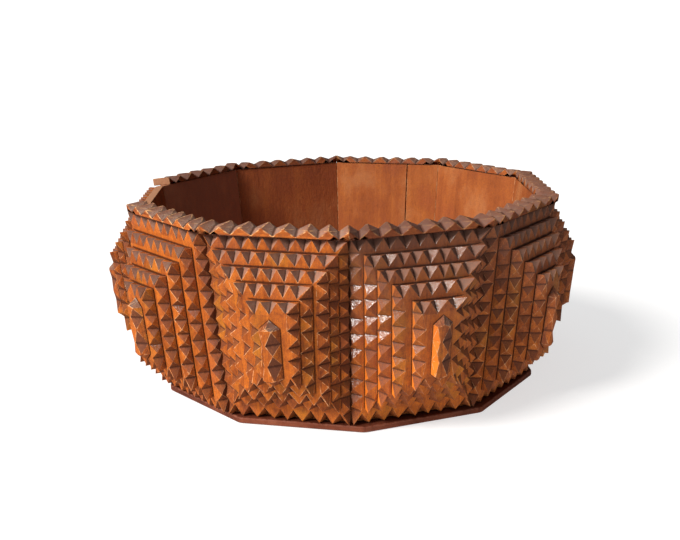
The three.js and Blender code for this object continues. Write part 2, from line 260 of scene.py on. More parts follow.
class Board:
    """A board's faces, in its side's frame. Corners run counter-clockwise seen from outside."""

    def __init__(self, rng):
        self.rng = rng
        self.mesh = bmesh.new()
        self.kind = self.mesh.faces.layers.int.new("kind")
        self.tone = self.mesh.faces.layers.float.new("tone")
        self.corners = {}
        self.low_points = []
        self.worn = set()
        self.low = {}
        self.ledge = None  # the outline of the board on top
        self.stains = (0.0, 0.0)
        self.fade = 0.0

    def corner(self, point):
        key = corner_key(point)
        if key not in self.corners:
            self.corners[key] = self.mesh.verts.new(point)
        return self.corners[key]

    def face(self, kind, *points):
        made = self.mesh.faces.new([self.corner(point) for point in points])
        made[self.kind] = kind
        made[self.tone] = self.rng.random()

    def wear_edges(self, width, segments=1):
        """Breaks the sharp edges, and remembers which faces are worn and which vertices lie low."""
        bmesh.ops.recalc_face_normals(self.mesh, faces=self.mesh.faces)
        tree = kdtree.KDTree(len(self.corners))
        low_keys = {corner_key(point) for point in self.low_points}
        flags = []
        for index, key in enumerate(self.corners):
            tree.insert(key, index)
            flags.append(1.0 if key in low_keys else 0.0)
        tree.balance()
        sharp = [
            edge
            for edge in self.mesh.edges
            if edge.is_manifold and edge.calc_face_angle() > math.radians(SHARP_EDGE)
        ]
        bevel = bmesh.ops.bevel(
            self.mesh,
            geom=sharp,
            offset=width,
            segments=segments,
            profile=0.5,
            affect="EDGES",
            clamp_overlap=True,
        )
        self.worn = set(bevel["faces"])
        self.low = {vert: flags[tree.find(vert.co)[1]] for vert in self.mesh.verts}

    def ledge_distances(self, kind, point):
        """How far a point of the front face is outside each edge of the board on top."""
        if kind != FRONT or not self.ledge:
            return [FAR] * LEDGE_EDGES
        flat = Vector((point.y, point.z))
        distances = []
        for start, following in zip(self.ledge, self.ledge[1:] + self.ledge[:1]):
            way = (following - start).normalized()
            distances.append((flat - start).dot(Vector((way.y, -way.x))))
        return distances + [-FAR] * (LEDGE_EDGES - len(distances))

    def corner_values(self, depth):
        """What the wood's material reads, face corner by face corner."""
        values = {title: [] for title in ("carving", "recess", "varnish", "ledge", "ledge_ends")}
        for face in self.mesh.faces:
            kind = face[self.kind]
            finish = FINISHES[kind]
            worn = 1.0 if face in self.worn else 0.0
            raw = 1.0 if kind == RAW else 0.0
            for loop in face.loops:
                point = loop.vert.co
                height = clamped((point.x - depth[0]) / (depth[1] - depth[0])) if depth else 1.0
                low = self.low[loop.vert] if finish.recessed else 0.0
                rise = clamped(point.z / WALL_SLOPE_LENGTH)
                # darker varnish and painted shade, darker towards the top
                stain = self.stains[0] + (self.stains[1] - self.stains[0]) * rise**2
                distances = self.ledge_distances(kind, point)
                values["carving"].extend((finish.cut, worn, height, face[self.tone]))
                values["recess"].extend((low, raw, finish.painted_shade))
                values["varnish"].extend((finish.shine, stain, self.fade))
                values["ledge"].extend(distances[:3])
                values["ledge_ends"].extend(distances[3:])
        return values

    def grain_places(self, grain_axis):
        """Where each vertex lies in the grain, which runs along the third axis of the noise."""
        offset = Vector([self.rng.uniform(0, GRAIN_RANGE) for _ in range(3)])
        places = []
        for vert in self.mesh.verts:
            x, y, z = vert.co
            along = (y, x, z) if grain_axis == "Z" else (z, x, y)
            places.extend(Vector(along) + offset)
        return places

    def finish(self, name, slot, node, side=None, depth=None, grain_axis="Z"):
        """Makes the piece. depth is the x of its back and front, if dirt and painted shade gather towards
        the back.
        """
        self.mesh.normal_update()
        for face in self.mesh.faces:
            face.smooth = True
        values = self.corner_values(depth)
        places = self.grain_places(grain_axis)
        normals = [facet_normal(vert) for vert in self.mesh.verts]
        mesh = bpy.data.meshes.new(name)
        self.mesh.to_mesh(mesh)
        self.mesh.free()
        mesh.normals_split_custom_set_from_vertices(normals)
        for title, flat_values in values.items():
            kind, field = ("FLOAT_COLOR", "color") if title == "carving" else ("FLOAT_VECTOR", "vector")
            mesh.attributes.new(title, kind, "CORNER").data.foreach_set(field, flat_values)
        mesh.attributes.new("grain", "FLOAT_VECTOR", "POINT").data.foreach_set("vector", places)
        mesh.transform(side_matrix(side) if side else Matrix.Scale(MM, 4))
        piece = bpy.data.objects.new(name, mesh)
        bpy.context.scene.collection.objects.link(piece)
        piece.data.materials.append(materials[slot])
        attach(piece, "root")
        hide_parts(node)


class Noise(NamedTuple):
    """A noise of the wood. Its scale is per millimetre, across the board both ways and along the grain."""

    scale: tuple
    detail: int
    roughness: float = 0.55
    distortion: float = 0.0


class Band(NamedTuple):
    """From low to high of a value, a share goes smoothly from at_low to at_high."""

    low: float
    high: float
    at_low: float = 0.0
    at_high: float = 1.0


class Nodes:
    """A material's node tree, built up by short calls."""

    def __init__(self, name):
        self.material = bpy.data.materials.new(name)
        self.material.use_nodes = True
        self.tree = self.material.node_tree
        self.shader = self.tree.nodes["Principled BSDF"]

    def node(self, kind, **settings):
        made = self.tree.nodes.new(kind)
        for key, value in settings.items():
            setattr(made, key, value)
        return made

    def plug(self, value, socket):
        if isinstance(value, bpy.types.NodeSocket):
            self.tree.links.new(value, socket)
        elif value is not None:
            socket.default_value = value

    def attribute(self, name, output="Vector"):
        return self.node("ShaderNodeAttribute", attribute_name=name).outputs[output]

    def math(self, operation, a, b, clamp=False):
        made = self.node("ShaderNodeMath", operation=operation, use_clamp=clamp)
        self.plug(a, made.inputs[0])
        self.plug(b, made.inputs[1])
        return made.outputs[0]

    def plus(self, a, b, clamp=False):
        return self.math("ADD", a, b, clamp)

    def minus(self, a, b):
        return self.math("SUBTRACT", a, b)

    def times(self, a, b):
        return self.math("MULTIPLY", a, b)

    def most(self, a, b):
        return self.math("MAXIMUM", a, b)

    def noise(self, place, settings):
        stretched = self.node("ShaderNodeVectorMath", operation="MULTIPLY")
        self.plug(place, stretched.inputs[0])
        stretched.inputs[1].default_value = settings.scale
        made = self.node("ShaderNodeTexNoise")
        self.plug(stretched.outputs[0], made.inputs["Vector"])
        made.inputs["Scale"].default_value = 1.0
        made.inputs["Detail"].default_value = settings.detail
        made.inputs["Roughness"].default_value = settings.roughness
        made.inputs["Distortion"].default_value = settings.distortion
        return made.outputs["Fac"]

    def spread(self, value, band, strength=1.0):
        """A band's share of a value. strength scales the share at the band's high end."""
        made = self.node("ShaderNodeMapRange", interpolation_type="SMOOTHSTEP")
        self.plug(value, made.inputs["Value"])
        made.inputs["From Min"].default_value = band.low
        made.inputs["From Max"].default_value = band.high
        made.inputs["To Min"].default_value = band.at_low
        made.inputs["To Max"].default_value = band.at_high * strength
        return made.outputs["Result"]

    def ramp(self, value, stops):
        made = self.node("ShaderNodeValToRGB")
        self.plug(value, made.inputs[0])
        elements = made.color_ramp.elements
        while len(elements) < len(stops):
            elements.new(0.5)
        for element, (place, color) in zip(elements, stops):
            element.position = place
            element.color = (*color, 1.0)
        return made.outputs["Color"]

    def mix(self, share, a, b):
        made = self.node("ShaderNodeMix", data_type="RGBA")
        self.plug(share, made.inputs[0])
        color_a, color_b = made.inputs[6:8]  # the node's other inputs are for numbers and vectors
        for value, socket in ((a, color_a), (b, color_b)):
            self.plug((*value, 1.0) if isinstance(value, tuple) else value, socket)
        return made.outputs[2]

    def separate(self, color):
        made = self.node("ShaderNodeSeparateColor")
        self.plug(color, made.inputs[0])
        return made.outputs

    def apart(self, vector):
        made = self.node("ShaderNodeSeparateXYZ")
        self.plug(vector, made.inputs[0])
        return made.outputs

    def bump(self, height, distance, normal=None):
        made = self.node("ShaderNodeBump")
        self.plug(height, made.inputs["Height"])
        made.inputs["Distance"].default_value = distance
        self.plug(normal, made.inputs["Normal"])
        return made.outputs["Normal"]


# Noises of the wood
FIBRES = Noise((1.3, 1.3, 0.06), detail=6, roughness=0.6)
STREAKS = Noise((0.16, 0.16, 0.012), detail=3, distortion=0.6)
PATCHES = Noise((0.045, 0.045, 0.03), detail=4, roughness=0.6)
PORES = Noise((3.4, 3.4, 0.28), detail=2)
SPECKS = Noise((1.9, 1.9, 1.9), detail=5, roughness=0.7)
BLOTS = Noise((0.5, 0.5, 0.35), detail=4, roughness=0.65)
KNIFE_MARKS = Noise((0.55, 0.55, 0.4), detail=3, roughness=0.5)

# What the varnish's colour is blended from: fibres, streaks, blots and patches
PLAIN_BLEND = (0.4, 0.3, 0.5, 0.0)
MOTTLED_BLEND = (0.12, 0.3, 0.13, 0.65)
TONE_SHARE = 0.18  # of the blend, from facet to facet
BLEND_OFFSET = 0.15

# Colours of age, and of painted light, shade and sheen
PORE_COLOR = (0.055, 0.018, 0.01)
YELLOWED_COLOR = (0.56, 0.215, 0.016)
REDDENED_COLOR = (0.42, 0.105, 0.035)
MOTTLE_COLOR = (0.26, 0.115, 0.10)
SPECK_COLOR = (0.10, 0.034, 0.024)
# painted light, on flanks that face the key light
PAINTED_LIGHT_COLOR = (0.82, 0.20, 0.014)
# painted sheen, the pale reflection of the bright surroundings
PAINTED_SHEEN_COLOR = (0.42, 0.20, 0.15)
PAINTED_SHADE_COLOR = (0.075, 0.020, 0.010)
RAW_COLOR = (0.36, 0.17, 0.09)
DUST_COLOR = (0.30, 0.225, 0.18)
# dirt and painted shade in the recesses
DIRT_AND_SHADE_COLOR = (0.045, 0.013, 0.007)
CREST_COLOR = (0.36, 0.28, 0.23)

# Where each mark of age and of painted light, shade and sheen shows, by the noises and by what the mesh
# says of a point
PORE_BAND = Band(0.62, 0.72)
PORE_SHARE = 0.5
PORE_HOLLOW = Band(0.62, 0.72, 1.0, 0.0)
YELLOWED_BAND = Band(0.52, 0.70)
REDDENED_BAND = Band(0.46, 0.32)
MOTTLE_BAND = Band(0.5, 0.68)
DARK_SPECKS = Band(0.48, 0.62, 0.0, 0.36)
# painted light, where the share of painted shade is below 0
PAINTED_LIGHT_BAND = Band(0.0, -1.0)
# bare cut wood and painted sheen, more on the cuts that face up
BARE_AND_SHEEN_BLOTS = Band(0.35, 0.65, 0.6, 0.95)
BARE_AND_SHEEN_UP = Band(0.0, 0.4, 0.45, 1.0)
# blots of the painted shade
PAINTED_SHADE_BLOTS = Band(0.3, 0.6, 0.7, 1.1)
DUST_UP = Band(0.1, 0.6)
DUST_SPECKS = Band(0.35, 0.6)
DUST_RECESS = Band(0.0, 1.0, 0.25, 0.9)
CREST_HEIGHT = Band(0.22, 0.0)
CREST_BLOTS = Band(0.46, 0.56, 0.0, 0.85)
CREST_CUT = Band(0.5, 0.8)
CREST_UP = Band(0.1, 0.3)
# dirt and painted shade in the grooves, round the board on top and low down
GROOVE_DIRT_AND_SHADE = Band(0.98, 1.16)
GROOVE_DIRT_AND_SHADE_SHARE = 0.8
GROOVE_RAGGEDNESS = 0.3
LEDGE_DIRT_AND_SHADE = Band(0.0, -0.5)
LEDGE_DIRT_AND_SHADE_SHARE = 0.85
LEDGE_RAGGEDNESS = 1.0
LOW_SPECKS = Band(0.35, 0.65, 0.1, 0.9)
LOW_DIRT_AND_SHADE_SHARE = 0.7
RUBBED_BLOTS = Band(0.42, 0.6, 0.0, 0.9)

# Gloss and relief
GLOSS_BLOTS = Band(0.3, 0.7)
ROUGHNESS_RANGE = 0.3  # from the glossiest blots to the dullest
DIRT_ROUGHNESS = 0.3
DUST_ROUGHNESS = 0.4
RAW_ROUGHNESS = 0.3
SHINY_SPECKS = Band(0.53, 0.59, 0.03, 1.0)
COAT_ROUGHNESS = 0.1
COAT_IOR = 1.7
WOOD_SPECULAR = 0.14
KNIFE_RELIEF_M = 0.00025
GRAIN_RELIEF_M = 0.00012
PORE_RELIEF_M = 0.00005
SPECK_RELIEF = 1.2  # of the fibres' relief


class Wood(NamedTuple):
    """What sets one wood apart from the others. Shares are from 0 to 1."""

    stops: list  # the varnish, from its darkest streaks to its palest
    # bare cut wood with a painted sheen
    cut_and_sheen_color: tuple
    worn_color: tuple
    # darkened varnish and painted shade
    stain_color: tuple
    roughness: float  # where it is glossiest
    mottle: float  # share of dull patches
    clouding: float  # share of yellower and redder patches


def wood_marks(n):
    """What the mesh says of a point of a board, and the noises there."""
    grain = n.attribute("grain")
    carving = n.node("ShaderNodeAttribute", attribute_name="carving")
    marks = SimpleNamespace(tone=carving.outputs["Alpha"])
    marks.cut, marks.worn, marks.height = n.separate(carving.outputs["Color"])[0:3]
    marks.recess, marks.raw, marks.painted_shade = n.apart(n.attribute("recess"))
    marks.shine, marks.stain, marks.fade = n.apart(n.attribute("varnish"))
    ledges = [*n.apart(n.attribute("ledge")), *n.apart(n.attribute("ledge_ends"))]
    marks.ledge = ledges[0]
    for other in ledges[1:]:
        marks.ledge = n.most(marks.ledge, other)
    marks.up = n.apart(n.node("ShaderNodeNewGeometry").outputs["Normal"])[2]
    marks.fibres = n.noise(grain, FIBRES)
    marks.streaks = n.noise(grain, STREAKS)
    marks.patches = n.noise(grain, PATCHES)
    marks.pores = n.noise(grain, PORES)
    marks.specks = n.noise(grain, SPECKS)
    marks.blots = n.noise(grain, BLOTS)
    marks.knife = n.noise(grain, KNIFE_MARKS)
    # painted light, where the facet's share of painted shade is below 0
    marks.vivid = n.spread(marks.painted_shade, PAINTED_LIGHT_BAND)
    return marks


def varnish_color(n, marks, wood):
    """Streaks and patches of varnish over the pores of the wood, with painted light on flanks that face
    the key and a painted sheen inside a shaded wall.
    """
    noises = (marks.fibres, marks.streaks, marks.blots, marks.patches)
    shares = MOTTLED_BLEND if wood.mottle else PLAIN_BLEND
    blend = n.times(noises[0], shares[0])
    for noise, share in zip(noises[1:], shares[1:]):
        blend = n.plus(blend, n.times(noise, share))
    blend = n.plus(blend, n.times(n.minus(marks.tone, 0.5), TONE_SHARE))
    color = n.ramp(n.minus(blend, BLEND_OFFSET), wood.stops)
    color = n.mix(n.spread(marks.pores, PORE_BAND, PORE_SHARE), color, PORE_COLOR)
    color = n.mix(n.spread(marks.patches, YELLOWED_BAND, wood.clouding), color, YELLOWED_COLOR)
    color = n.mix(n.spread(marks.patches, REDDENED_BAND, wood.clouding), color, REDDENED_COLOR)
    if wood.mottle:
        color = n.mix(n.spread(marks.patches, MOTTLE_BAND, wood.mottle), color, MOTTLE_COLOR)
    color = n.mix(n.spread(marks.specks, DARK_SPECKS), color, SPECK_COLOR)
    # Painted light on the left flanks that face the key light
    color = n.mix(marks.vivid, color, PAINTED_LIGHT_COLOR)
    # Painted sheen on the inside of a shaded wall
    return n.mix(marks.fade, color, PAINTED_SHEEN_COLOR)


def dust_share(n, marks):
    """Dust on cuts that face up, most in the grooves."""
    dust = n.times(n.spread(marks.up, DUST_UP), n.spread(marks.specks, DUST_SPECKS))
    return n.times(dust, n.times(marks.cut, n.spread(marks.recess, DUST_RECESS)))


def dirt_and_shade_share(n, marks):
    """Dirt and painted shade at the bottom of the grooves, round the board on top and low on the flanks.
    """
    ragged_recess = n.plus(marks.recess, n.times(marks.specks, GROOVE_RAGGEDNESS))
    ragged_ledge = n.minus(marks.ledge, n.times(marks.specks, LEDGE_RAGGEDNESS))
    low = n.times(n.minus(1.0, marks.height), n.spread(marks.specks, LOW_SPECKS))
    # No low dirt or painted shade where there is painted light
    low = n.times(low, n.minus(1.0, marks.vivid))
    dirt_and_shade = n.most(
        n.times(n.spread(ragged_recess, GROOVE_DIRT_AND_SHADE), GROOVE_DIRT_AND_SHADE_SHARE),
        n.times(n.spread(ragged_ledge, LEDGE_DIRT_AND_SHADE), LEDGE_DIRT_AND_SHADE_SHARE),
    )
    return n.most(dirt_and_shade, n.times(low, LOW_DIRT_AND_SHADE_SHARE))


def aged_color(n, marks, wood, dust, dirt_and_shade):
    """The varnish with its cuts and painted sheen, painted shade, dust, dirt and painted shade, rubbed
    edges, and stain with painted shade.
    """
    color = varnish_color(n, marks, wood)
    # Bare cut wood and painted sheen, more on the cuts that face up
    bare_and_sheen = n.times(marks.cut, n.spread(marks.blots, BARE_AND_SHEEN_BLOTS))
    color = n.mix(n.times(bare_and_sheen, n.spread(marks.up, BARE_AND_SHEEN_UP)), color, wood.cut_and_sheen_color)
    # Painted shade on facets turned away from the key light and in narrow gaps
    color = n.mix(n.times(marks.painted_shade, n.spread(marks.blots, PAINTED_SHADE_BLOTS)), color, PAINTED_SHADE_COLOR)
    color = n.mix(marks.raw, color, RAW_COLOR)
    color = n.mix(dust, color, DUST_COLOR)
    # Dirt and painted shade in the recesses
    color = n.mix(dirt_and_shade, color, DIRT_AND_SHADE_COLOR)
    crest = n.times(n.spread(marks.height, CREST_HEIGHT), n.spread(marks.blots, CREST_BLOTS))
    crest = n.times(crest, n.times(n.spread(marks.cut, CREST_CUT), n.spread(marks.up, CREST_UP)))
    color = n.mix(crest, color, CREST_COLOR)
    rubbed = n.times(marks.worn, n.spread(marks.blots, RUBBED_BLOTS))
    color = n.mix(n.times(rubbed, n.minus(1.0, marks.recess)), color, wood.worn_color)
    # Darkened varnish and painted shade by side, darker towards the top
    return n.mix(n.times(marks.stain, n.minus(1.0, marks.raw)), color, wood.stain_color)


def varnished_wood(name, wood):
    """Old varnished cedar: streaks along the grain, dark pores, dirt and painted shade in the recesses,
    painted light and shade by facet, and worn edges.
    """
    n = Nodes(name)
    marks = wood_marks(n)
    dust = dust_share(n, marks)
    dirt_and_shade = dirt_and_shade_share(n, marks)
    n.plug(aged_color(n, marks, wood, dust, dirt_and_shade), n.shader.inputs["Base Color"])

    roughest = wood.roughness + ROUGHNESS_RANGE
    roughness = n.spread(marks.blots, GLOSS_BLOTS._replace(at_low=wood.roughness, at_high=roughest))
    roughness = n.plus(roughness, n.times(dirt_and_shade, DIRT_ROUGHNESS))
    roughness = n.plus(roughness, n.times(dust, DUST_ROUGHNESS))
    roughness = n.plus(roughness, n.times(marks.raw, RAW_ROUGHNESS), clamp=True)
    n.plug(roughness, n.shader.inputs["Roughness"])
    n.plug(n.times(n.spread(marks.specks, SHINY_SPECKS), marks.shine), n.shader.inputs["Coat Weight"])
    n.shader.inputs["Coat Roughness"].default_value = COAT_ROUGHNESS
    n.shader.inputs["Coat IOR"].default_value = COAT_IOR
    n.shader.inputs["Specular IOR Level"].default_value = WOOD_SPECULAR

    normal = n.bump(marks.knife, KNIFE_RELIEF_M)
    normal = n.bump(n.plus(marks.fibres, n.times(marks.specks, SPECK_RELIEF)), GRAIN_RELIEF_M, normal)
    normal = n.bump(n.spread(marks.pores, PORE_HOLLOW), PORE_RELIEF_M, normal)
    n.plug(normal, n.shader.inputs["Normal"])
    return n.material


CARVED_WOOD = Wood(
    stops=[
        (0.22, (0.17, 0.034, 0.007)),
        (0.42, (0.41, 0.093, 0.011)),
        (0.58, (0.59, 0.147, 0.014)),
        (0.80, (0.72, 0.215, 0.026)),
    ],
    cut_and_sheen_color=(0.32, 0.17, 0.125),
    worn_color=(0.74, 0.38, 0.18),
    stain_color=(0.105, 0.052, 0.038),
    roughness=0.42,
    mottle=0.0,
    clouding=0.45,
)
WALL_WOOD = Wood(
    stops=[
        (0.22, (0.15, 0.034, 0.010)),
        (0.45, (0.33, 0.085, 0.020)),
        (0.62, (0.46, 0.135, 0.028)),
        (0.85, (0.56, 0.200, 0.050)),
    ],
    cut_and_sheen_color=(0.24, 0.10, 0.06),
    worn_color=(0.50, 0.25, 0.12),
    stain_color=(0.16, 0.022, 0.018),
    roughness=0.55,
    mottle=0.25,
    clouding=0.25,
)
BASE_WOOD = Wood(
    stops=[
        (0.22, (0.07, 0.016, 0.008)),
        (0.50, (0.19, 0.046, 0.020)),
        (0.80, (0.30, 0.090, 0.040)),
    ],
    cut_and_sheen_color=(0.18, 0.07, 0.045),
    worn_color=(0.22, 0.075, 0.045),
    stain_color=(0.05, 0.02, 0.02),
    roughness=0.45,
    mottle=0.1,
    clouding=0.04,
)
RIM_WOOD = Wood(
    stops=[
        (0.22, (0.15, 0.034, 0.010)),
        (0.45, (0.40, 0.092, 0.014)),
        (0.62, (0.60, 0.155, 0.018)),
        (0.85, (0.72, 0.230, 0.040)),
    ],
    cut_and_sheen_color=(0.30, 0.165, 0.12),
    worn_color=(0.74, 0.40, 0.17),
    stain_color=(0.075, 0.023, 0.016),
    roughness=0.42,
    mottle=0.0,
    clouding=0.3,
)
materials["carved_board"] = varnished_wood("carved varnished cedar", CARVED_WOOD)
materials["wall_board"] = varnished_wood("smooth varnished cedar", WALL_WOOD)
materials["base_board"] = varnished_wood("dark varnished base", BASE_WOOD)
materials["rim_strip"] = varnished_wood("rubbed varnished cedar", RIM_WOOD)


class Cut(NamedTuple):
    """How one edge of a board is notched."""

    walls: tuple  # the kinds of a groove's two walls
    pitch: float
    reach: float
    ends: tuple  # from the edge's two corners to its first and last groove
    slopes: tuple = (END_SLOPE, END_SLOPE)
    foot_inset: float = 0.0
    drop: float = 0.0
    flank: int = FLANK  # the kind of the facets under the teeth


class Tooth(NamedTuple):
    """A tooth and the groove after it, in the board's plane."""

    tip: Vector
    drop: float  # of the tip below the front face
    heel: Vector  # the back's corner under the tip, or None between an edge's corners
    valley: Vector  # the groove's end on the front face
    foot: Vector  # its end at the back
    cut: Cut


def groove_places(length, cut, rng):
    """How far along an edge its grooves are."""
    first, last = cut.ends
    gaps = max(0, round((length - first - last) / cut.pitch))
    places = [length / 2]
    if gaps:
        places = [first + (length - first - last) * n / gaps for n in range(gaps + 1)]
    jitter = TOOTH_UNEVENNESS * cut.pitch
    return [place + rng.uniform(-1, 1) * jitter for place in places]


def carve(front, back, cuts, rng):
    """Teeth round a board, from the outlines of its front and back and one cut for each edge."""
    teeth = []
    for edge, start in enumerate(front):
        following = (edge + 1) % len(front)
        along = front[following] - start
        length = along.length
        way = along / length
        inward = Vector((-way.y, way.x))
        cut = cuts[edge]
        places = groove_places(length, cut, rng)
        for n, place in enumerate(places):
            tip = start
            heel = back[edge]
            if n:
                middle = places[n - 1] + (place - places[n - 1]) * rng.uniform(*TIP_PLACES)
                tip = start + way * middle + inward * rng.uniform(0, TIP_WEAR)
                heel = None
            reach = cut.reach * rng.uniform(*REACH_SPREAD)
            if n == 0:
                reach = min(reach, cut.slopes[0] * place)
            if n == len(places) - 1:
                reach = min(reach, cut.slopes[1] * (length - place))
            drop = cut.drop * (1 if n else CORNER_DROP_SHARE) + rng.uniform(0, TIP_DROP)
            valley = start + way * place + inward * reach
            foot = back[edge].lerp(back[following], place / length) + inward * cut.foot_inset
            teeth.append(Tooth(tip, drop, heel, valley, foot, cut))
    return teeth


def carved_board(back_x, front_x, teeth, rng, arris=ARRIS_WIDTH):
    """A board between two planes, with its teeth, and its grooves slanting through its edge."""
    board = Board(rng)

    def at(x, point):
        return Vector((x, point.x, point.y))

    tips = [at(front_x - tooth.drop, tooth.tip) for tooth in teeth]
    back_outline = []
    for index, tooth in enumerate(teeth):
        last = teeth[index - 1]
        last_valley = at(front_x, last.valley)
        last_foot = at(back_x, last.foot)
        tip = tips[index]
        next_tip = tips[(index + 1) % len(teeth)]
        valley = at(front_x, tooth.valley)
        foot = at(back_x, tooth.foot)
        board.low_points += [valley, foot]
        board.face(tooth.cut.walls[0], tip, foot, valley)
        board.face(tooth.cut.walls[1], next_tip, valley, foot)
        board.face(FRONT, last_valley, tip, valley)
        if tooth.heel is None:
            board.face(tooth.cut.flank, last_foot, foot, tip)
        else:
            heel = at(back_x, tooth.heel)
            board.face(last.cut.flank, last_foot, heel, tip)
            board.face(tooth.cut.flank, heel, foot, tip)
            back_outline.insert(0, heel)
        back_outline.insert(0, foot)
    board.face(FRONT, *(at(front_x, tooth.valley) for tooth in teeth))
    board.face(BACK, *back_outline)
    board.wear_edges(arris)
    return board


def layer_outline(layer, inset, shift):
    """A stepped board's corners from the lower left one. inset pulls the top and foot edges in."""
    left, right, top_shift, foot_shift = shift
    foot = layer_foot + layer * FOOT_LEDGE + foot_shift + inset + (FOOT_LIFT if layer else 0)
    top = WALL_SLOPE_LENGTH - layer * TOP_LEDGE + top_shift - inset
    corners = []
    for end, height in ((-1, foot), (1, foot), (1, top), (-1, top)):
        half = half_width_at(GLUE_GAP, height) + COLUMN_OVERHANG - layer * SIDE_LEDGE
        corners.append(Vector((end * half + (right if end > 0 else left), height)))
    return corners


def cap_outline(left_inset, right_inset, end_inset, shift):
    """A cap bar's corners from the point at its foot, counter-clockwise."""
    foot = layer_foot + LAYER_COUNT * FOOT_LEDGE
    top = WALL_SLOPE_LENGTH - LAYER_COUNT * TOP_LEDGE
    middle_height = (foot + top) / 2 + shift[1]
    left = left_inset - CAP_WIDTH / 2 + shift[0]
    right = CAP_WIDTH / 2 - right_inset + shift[0]
    middle = (left + right) / 2
    shoulder = CAP_LENGTH / 2 - CAP_POINT
    point = CAP_LENGTH / 2 - end_inset
    return [
        Vector((middle, middle_height - point)),
        Vector((right, middle_height - shoulder)),
        Vector((right, middle_height + shoulder)),
        Vector((middle, middle_height + point)),
        Vector((left, middle_height + shoulder)),
        Vector((left, middle_height - shoulder)),
    ]


def layer_cuts(side, layer):
    """The cuts of a stepped board's foot, right, top and left edges."""
    # The first board's flanks lie in the gap between sides and get painted shade, as do the walls turned
    # away from the key light
    flank = FLANK if layer else GAP
    # On one side the left flanks, which face the key light, get painted light
    lit_left_flank = LIT_LEFT_FLANK if layer and side == LIT_SIDE else flank
    left_upper_wall = UP_COLUMN if side == LIT_SIDE else SHADED_COLUMN
    foot_cut = Cut(
        walls=(SHADED_COLUMN, FOOT_GROOVE),
        pitch=ROW_PITCH,
        reach=ROW_REACH,
        ends=(LEFT_CORNER_TOOTH, LEFT_CORNER_TOOTH),
        slopes=(STEEP_END_SLOPE, STEEP_END_SLOPE),
        drop=ROW_TIP_DROP,
    )
    right_cut = Cut(
        walls=(SHADED_COLUMN, SHADED_COLUMN),
        pitch=COLUMN_PITCH,
        reach=COLUMN_REACH,
        ends=(CORNER_TOOTH, CORNER_TOOTH),
        slopes=(SHALLOW_END_SLOPE, END_SLOPE),
        foot_inset=COLUMN_FOOT_INSET,
        drop=COLUMN_TIP_DROP,
        flank=flank,
    )
    top_cut = Cut(
        walls=(GROOVE, SHADED_GROOVE),
        pitch=ROW_PITCH,
        reach=ROW_REACH,
        ends=(CORNER_TOOTH, LEFT_CORNER_TOOTH),
        slopes=(TOP_END_SLOPE, STEEP_END_SLOPE),
        foot_inset=ROW_FOOT_INSET,
        drop=ROW_TIP_DROP,
    )
    left_cut = right_cut._replace(
        walls=(COLUMN_GROOVE, left_upper_wall),
        slopes=(SHALLOW_END_SLOPE, SHALLOW_END_SLOPE),
        flank=lit_left_flank,
    )
    return [foot_cut, right_cut, top_cut, left_cut]


def cap_cuts(side):
    """The cuts of a cap bar's edges, from its foot's right one counter-clockwise."""
    ends = (CAP_PITCH / 2, CAP_PITCH / 2)
    # The darker end facets of the cap bar get painted shade
    shaded_end, dull_end, bright_end = (
        Cut((kind, kind), CAP_WIDTH, 0.0, (CAP_WIDTH, CAP_WIDTH), flank=kind)
        for kind in (SHADED_GROOVE, FLANK, UP_COLUMN)
    )
    # On that side the cap bar's left edge gets painted light
    left_kind = LIT_LEFT_FLANK if side == LIT_SIDE else COLUMN_GROOVE
    left = Cut((left_kind, left_kind), CAP_PITCH, CAP_LEFT_REACH, ends, flank=left_kind)
    right = Cut((SHADED_GROOVE, SHADED_GROOVE), CAP_PITCH, CAP_RIGHT_REACH, ends)
    return [dull_end, right, shaded_end, bright_end, left, dull_end]


def stack_shifts(side, rng):
    """How far a stack's boards and its cap bar are off their regular places."""
    shifts = list(STACKS.get(side, []))
    drift = Vector((0.0, 0.0))
    while len(shifts) < LAYER_COUNT:
        if shifts:
            drift += Vector((rng.uniform(-1, 1), rng.uniform(-1, 1))) * BOARD_SHIFT
        shifts.append((drift.x, drift.x, drift.y, drift.y))
    return shifts, CAP_SHIFTS.get(side, drift)


def make_stack(side, rng):
    """The five stepped boards of a side and its cap bar."""
    number = f"side_{side:02d}"
    nodes = ["layer_1", "layers_2_3", "layers_2_3", "layers_4_5", "layers_4_5"]
    arris = ROUNDED_WIDTH if side == ROUNDED_SIDE else ARRIS_WIDTH
    # Darkened varnish and painted shade, by side
    stains = CARVED_STAINS_AND_SHADE.get(side, (0.0, 0.0))
    shifts, cap_shift = stack_shifts(side, rng)
    cap_back = cap_outline(0, 0, 0, cap_shift)
    for layer, shift in enumerate(shifts):
        back_x = GLUE_GAP + layer * layer_step
        front_x = back_x + LAYER_THICKNESS
        front = layer_outline(layer, 0, shift)
        back = layer_outline(layer, EDGE_UNDERCUT, shift)
        teeth = carve(front, back, layer_cuts(side, layer), rng)
        board = carved_board(back_x, front_x, teeth, rng, arris)
        board.stains = stains
        board.ledge = cap_back
        if layer + 1 < LAYER_COUNT:
            board.ledge = layer_outline(layer + 1, EDGE_UNDERCUT, shifts[layer + 1])
        name = f"{number}_board_{layer + 1}"
        board.finish(name, "carved_board", f"{number}_{nodes[layer]}", side, (back_x, front_x))

    back_x = GLUE_GAP + LAYER_COUNT * layer_step
    front_x = back_x + CAP_THICKNESS - CAP_WEAR
    front = cap_outline(CAP_LEFT_SLOPE, CAP_RIGHT_SLOPE, CAP_END_SLOPE, cap_shift)
    teeth = carve(front, cap_back, cap_cuts(side), rng)
    board = carved_board(back_x, front_x, teeth, rng)
    board.stains = stains
    board.finish(f"{number}_cap", "carved_board", f"{number}_cap_bar", side, (back_x, front_x))


